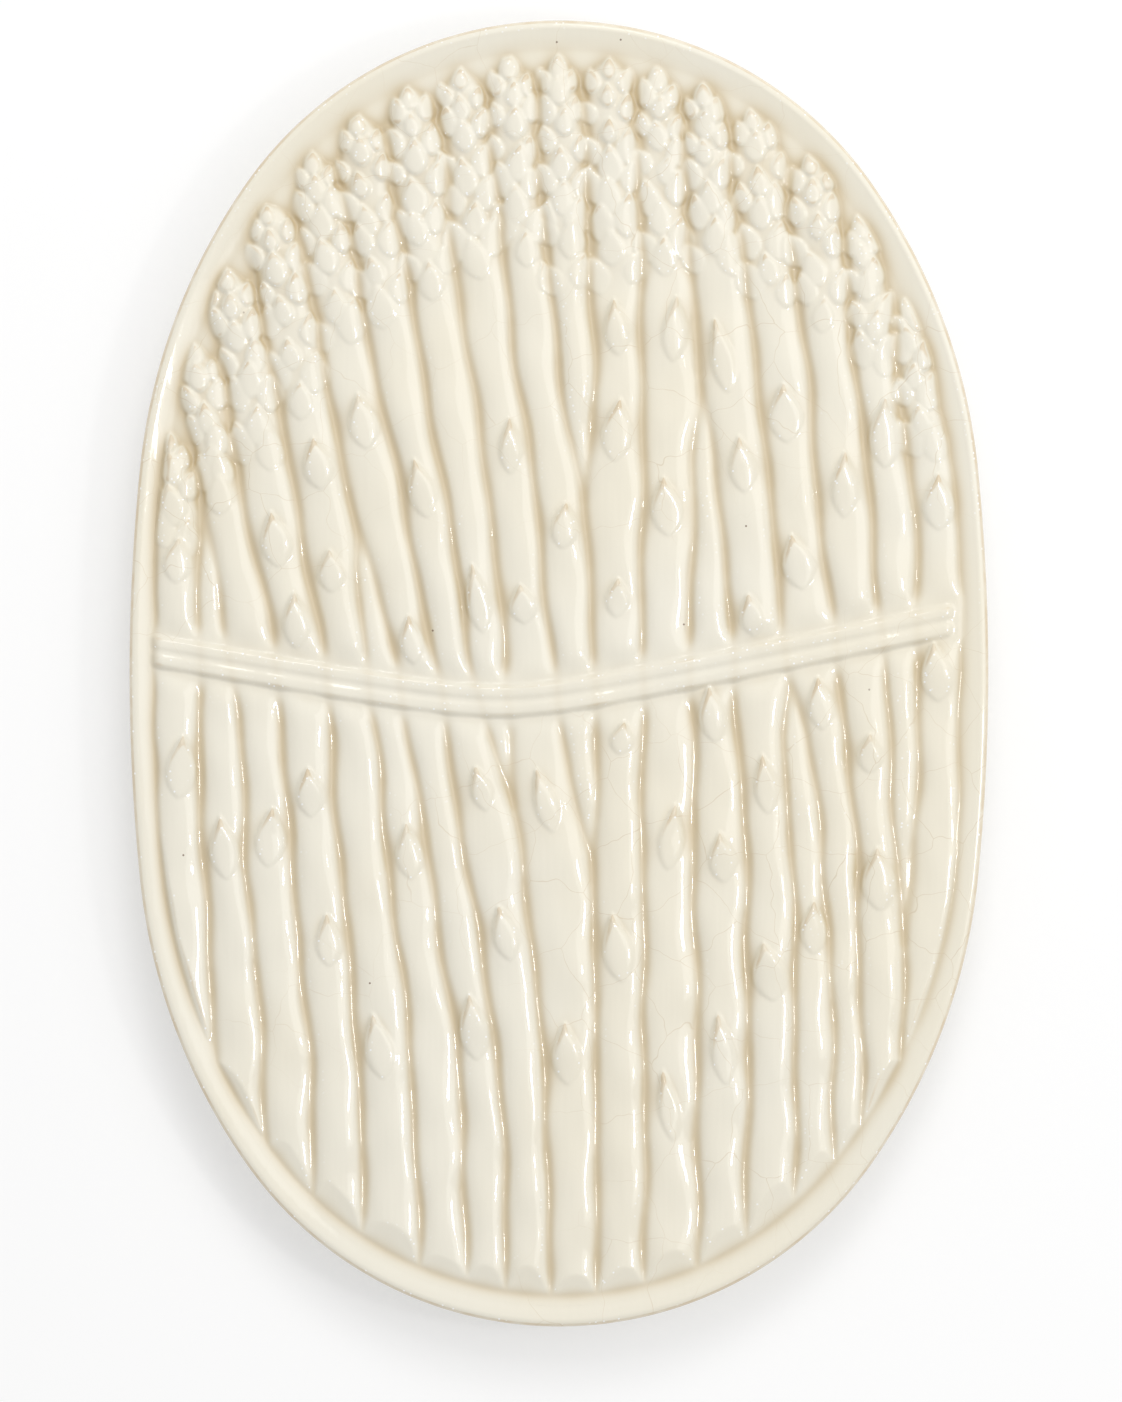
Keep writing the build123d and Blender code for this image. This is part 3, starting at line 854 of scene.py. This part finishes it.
class Shade:
    """A shader socket. Sums on it add Math nodes to its tree."""

    def __init__(self, tree, socket=None):
        self.tree = tree
        self.socket = socket

    def node(self, kind, options=None, inputs=None, output=0):
        """New node with its options set first, then the values or links of its sockets."""
        node = self.tree.nodes.new(kind)
        for option, value in (options or {}).items():
            setattr(node, option, value)
        for name, value in (inputs or {}).items():
            if isinstance(value, Shade):
                self.tree.links.new(value.socket, node.inputs[name])
            else:
                node.inputs[name].default_value = value
        return Shade(self.tree, node.outputs[output] if node.outputs else None)

    def math(self, operation, first, second=0.0, third=0.0):
        """Math node on one to three values."""
        return self.node("ShaderNodeMath", {"operation": operation}, {0: first, 1: second, 2: third})

    def __add__(self, other):
        return self.math("ADD", self, other)

    def __radd__(self, other):
        return self.math("ADD", other, self)

    def __sub__(self, other):
        return self.math("SUBTRACT", self, other)

    def __rsub__(self, other):
        return self.math("SUBTRACT", other, self)

    def __mul__(self, other):
        return self.math("MULTIPLY", self, other)

    def __rmul__(self, other):
        return self.math("MULTIPLY", other, self)

    def band(self, low, high):
        """0 below low, 1 above high and a soft step between."""
        return self.node(
            "ShaderNodeMapRange",
            {"interpolation_type": "SMOOTHSTEP"},
            {"Value": self, "From Min": low, "From Max": high},
        )

    def mix(self, first, second):
        """Colour between first and second, by this value."""
        return self.node(
            "ShaderNodeMix", {"data_type": "RGBA"}, {"Factor": self, "A": first, "B": second}, output=2
        )

    def noise(self, place, scale, detail=2.0):
        """Cloudy value from 0 to 1."""
        return self.node("ShaderNodeTexNoise", None, {"Vector": place, "Scale": scale, "Detail": detail})


def empty_tree(owner):
    """Start for the nodes of a material or a world, whose tree is emptied."""
    owner.use_nodes = True
    owner.node_tree.nodes.clear()
    return Shade(owner.node_tree)


def opaque(colour_value):
    """Colour with full alpha."""
    return (*colour_value, 1.0)


@functools.lru_cache
def glaze_material():
    """Cream glaze: pooled in hollows with painted shade there and in creases, thin on edges, crazed and
    specked, with painted white glints, over bare clay on the foot.
    """
    look = bpy.context.scene.plate_glaze
    material = bpy.data.materials.new("crazed_cream_glaze")
    start = empty_tree(material)
    place = start.node("ShaderNodeTexCoord", output=3)
    hollow = start.node("ShaderNodeAttribute", {"attribute_name": "hollow"}, output=2)
    patch = start.noise(place, 14.0)
    tint = patch.band(0.35, 0.7).mix(opaque(look.cream), opaque(look.warm))
    # painted shade: hollows darken toward the pool colour, partly gathered glaze and partly shade
    tint = (hollow.band(-0.15, 1.12) * 0.95).mix(tint, opaque(look.pool))
    ridge = start.node("ShaderNodeAttribute", {"attribute_name": "ridge"}, output=2)
    thin = start.noise(place, 160.0).band(0.3, 0.7)
    tint = (ridge.band(0.09, 0.2) * (0.25 + 0.45 * thin)).mix(tint, opaque(look.edge))
    # painted shade: creases under edges darken toward the crease colour, partly pooled glaze and partly
    # shade
    tint = ((0.0 - ridge).band(0.02, 0.13) * 0.7).mix(tint, opaque(look.crease))
    cracks = craze_lines(start, place, look)
    tint = (cracks * start.noise(place, 9.0).band(0.42, 0.62) * 0.45).mix(tint, opaque(look.craze))
    tint = specks(start, place, 55.0, 0.955, 0.02).mix(tint, opaque(look.speck))
    # painted highlight: small white glints in patches along edges, off the lip, where tiny bumps in the
    # glaze would mirror the lamps
    gathered = start.noise(place, 60.0).band(0.36, 0.52)
    at_edges = start.math("ABSOLUTE", ridge).band(0.02, 0.06)
    off_lip = 1.0 - ridge.band(0.18, 0.22)
    painted_glints = specks(start, place, 430.0, 0.35, 0.16) * at_edges * gathered * off_lip
    tint = painted_glints.mix(tint, WHITE)
    height = start.node("ShaderNodeSeparateXYZ", None, {0: place}, output=2)
    worn = 1.0 - height.band(0.4 * MM, 0.9 * MM)
    tint = worn.mix(tint, opaque(look.clay))
    smooth = look.gloss + 0.03 * start.noise(place, 45.0) + 0.6 * worn
    drawn = start.node("ShaderNodeVectorMath", {"operation": "MULTIPLY"}, {0: place, 1: (1, 0.1, 1)})
    ripple = start.noise(drawn, 320.0, 1.0) + start.noise(place, 110.0, 1.0)
    ripple = ripple + 0.12 * start.noise(place, 800.0, 1.0)
    bump = start.node("ShaderNodeBump", None, {"Strength": 0.3, "Distance": 0.3 * MM, "Height": ripple})
    shader = start.node(
        "ShaderNodeBsdfPrincipled",
        None,
        {
            "Base Color": tint,
            "Roughness": smooth,
            "Normal": bump,
            "IOR": 1.52,
            "Coat Weight": 0.4,
            "Coat Roughness": 0.04,
        },
    )
    start.node("ShaderNodeOutputMaterial", None, {"Surface": shader})
    return material


def craze_lines(start, place, look):
    """Hair cracks between irregular fields, 1 on a crack."""
    drift = start.node("ShaderNodeTexNoise", None, {"Vector": place, "Scale": 38.0, "Detail": 3.0}, output=1)
    moved = start.node(
        "ShaderNodeVectorMath",
        {"operation": "MULTIPLY_ADD"},
        {0: drift, 1: (0.02, 0.02, 0.02), 2: place},
    )
    fields = start.node(
        "ShaderNodeTexVoronoi",
        {"feature": "DISTANCE_TO_EDGE", "voronoi_dimensions": "2D"},
        {"Vector": moved, "Scale": 1 / look.craze_cell},
    )
    return 1.0 - fields.band(0.3 * look.craze_width, look.craze_width)


def specks(start, place, scale, rare, size):
    """Small round specks in some of the fields of a scale, nearly 1 on a speck."""
    cells = {"voronoi_dimensions": "2D"}
    spots = {"Vector": place, "Scale": scale}
    near = start.node("ShaderNodeTexVoronoi", cells, spots)
    chance = start.node("ShaderNodeTexVoronoi", cells, spots, output=1)
    picked = start.node("ShaderNodeSeparateColor", None, {0: chance}).band(rare, rare + 0.01)
    return (1.0 - near.band(0.6 * size, size)) * picked * 0.85


def paper_material():
    """White paper that stays white to the eye and in reflections, and keeps a shadow."""
    material = bpy.data.materials.new("white_paper")
    start = empty_tree(material)
    paper = start.node("ShaderNodeBsdfDiffuse", None, {"Color": (0.98, 0.98, 0.98, 1)})
    glow = start.node("ShaderNodeEmission", None, {"Color": WHITE, "Strength": 1.0})
    seen = seen_directly(start) * bpy.context.scene.plate_stage.floor_glow
    surface = start.node("ShaderNodeMixShader", None, {0: seen, 1: paper, 2: glow})
    start.node("ShaderNodeOutputMaterial", None, {"Surface": surface})
    return material


def seen_directly(start):
    """1 on rays from the camera, in reflections and through glass."""
    camera = start.node("ShaderNodeLightPath", output=0)
    glossy = start.node("ShaderNodeLightPath", output=3)
    through = start.node("ShaderNodeLightPath", output=6)
    either = start.math("MAXIMUM", camera, glossy)
    return start.math("MAXIMUM", either, through)


# Stage


def add_light(name, place, size, power):
    """Rectangular lamp aimed at the middle of the dish."""
    lamp = bpy.data.lights.new(name, "AREA")
    lamp.shape = "RECTANGLE"
    lamp.size, lamp.size_y = size
    lamp.energy = power
    light = bpy.data.objects.new(name, lamp)
    light.location = place
    light.rotation_euler = (-Vector(place)).to_track_quat("-Z", "X").to_euler()
    bpy.context.scene.collection.objects.link(light)
    return light


def add_camera(stage):
    """Camera straight above the dish that shows the picture's height at the rim."""
    lens = bpy.data.cameras.new("overhead_camera")
    lens.sensor_fit = "VERTICAL"
    lens.sensor_height = 36.0
    lens.lens = lens.sensor_height * stage.camera_height / stage.frame_height
    camera = bpy.data.objects.new("overhead_camera", lens)
    camera.location = (stage.frame_x, stage.frame_y, RIM_LEVEL + stage.camera_height)
    bpy.context.scene.collection.objects.link(camera)
    bpy.context.scene.camera = camera


def add_lights(stage):
    """Two windows that glint in the glaze, a softbox at the side and a key that isn't mirrored."""
    add_light("small_window", (0.9, -0.1, 1.15), (0.14, 0.15), stage.window_power)
    add_light("side_softbox", (1.3, 0.25, 1.6), (1.3, 1.3), stage.side_power)
    add_light("far_window", (0.2, 1.3, 1.3), (0.35, 0.45), stage.far_power)
    key = add_light("key_softbox", (0.15, 1.2, 1.4), (1.0, 1.0), stage.key_power)
    key.visible_glossy = False


def add_floor(stage):
    """Sheet of white paper just under the foot ring."""
    bm = bmesh.new()
    bmesh.ops.create_grid(bm, x_segments=1, y_segments=1, size=stage.floor_size)
    bmesh.ops.translate(bm, verts=bm.verts, vec=(0, 0, -PAPER_SINK))
    add_object("white_floor", bm, paper_material())


def add_world(stage):
    """White tent all round, dimmer to the plate than to the eye."""
    world = bpy.data.worlds.new("white_tent")
    start = empty_tree(world)
    strength = stage.world_light + (1 - stage.world_light) * seen_directly(start)
    sky = start.node("ShaderNodeBackground", None, {"Color": WHITE, "Strength": strength})
    start.node("ShaderNodeOutputWorld", None, {"Surface": sky})
    bpy.context.scene.world = world


def make_stage():
    """Camera, lamps, floor and world under the plain view transform."""
    stage = bpy.context.scene.plate_stage
    bpy.context.scene.view_settings.view_transform = "Standard"
    add_camera(stage)
    add_lights(stage)
    add_floor(stage)
    add_world(stage)


# Operators


class PLATE_OT_dish(bpy.types.Operator):
    """Model the glazed dish"""

    bl_idname = "plate.dish"
    bl_label = "Dish"

    def execute(self, context):
        make_dish()
        return {"FINISHED"}


class PLATE_OT_foot(bpy.types.Operator):
    """Model the foot ring"""

    bl_idname = "plate.foot"
    bl_label = "Foot Ring"

    def execute(self, context):
        make_foot()
        return {"FINISHED"}


class PLATE_OT_spears(bpy.types.Operator):
    """Model the moulded spears"""

    bl_idname = "plate.spears"
    bl_label = "Spears"

    def execute(self, context):
        for number in range(1, SPEAR_COUNT + 1):
            make_spear(number)
        return {"FINISHED"}


class PLATE_OT_tie(bpy.types.Operator):
    """Model the two strands of the tie"""

    bl_idname = "plate.tie"
    bl_label = "Tie"

    def execute(self, context):
        make_strand("glazed_tie_upper", "tie_strand_upper", 1)
        make_strand("glazed_tie_lower", "tie_strand_lower", -1)
        return {"FINISHED"}


class PLATE_OT_stage(bpy.types.Operator):
    """Set up the camera, lamps, floor and world"""

    bl_idname = "plate.stage"
    bl_label = "Stage"

    def execute(self, context):
        make_stage()
        return {"FINISHED"}


class PLATE_PT_panel(bpy.types.Panel):
    """Buttons for every group of pieces"""

    bl_idname = "PLATE_PT_panel"
    bl_label = "Asparagus Plate"
    bl_space_type = "VIEW_3D"
    bl_region_type = "UI"
    bl_category = "Plate"

    def draw(self, context):
        for operator in OPERATORS:
            self.layout.operator(operator.bl_idname)


GROUPS = {
    "plate_dish": DishShape,
    "plate_bunch": BunchShape,
    "plate_glaze": GlazeLook,
    "plate_stage": StageSetup,
}
OPERATORS = (PLATE_OT_dish, PLATE_OT_foot, PLATE_OT_spears, PLATE_OT_tie, PLATE_OT_stage)


def register():
    """Registers the groups, operators and panel."""
    for name, group in GROUPS.items():
        bpy.utils.register_class(group)
        setattr(bpy.types.Scene, name, PointerProperty(type=group))
    for operator in OPERATORS:
        bpy.utils.register_class(operator)
    bpy.utils.register_class(PLATE_PT_panel)


def unregister():
    """Takes back what register did."""
    bpy.utils.unregister_class(PLATE_PT_panel)
    for operator in reversed(OPERATORS):
        bpy.utils.unregister_class(operator)
    for name, group in GROUPS.items():
        delattr(bpy.types.Scene, name)
        bpy.utils.unregister_class(group)


def main():
    """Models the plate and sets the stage."""
    register()
    bpy.ops.plate.dish()
    bpy.ops.plate.foot()
    bpy.ops.plate.spears()
    bpy.ops.plate.tie()
    bpy.ops.plate.stage()


if __name__ == "__main__":
    main()
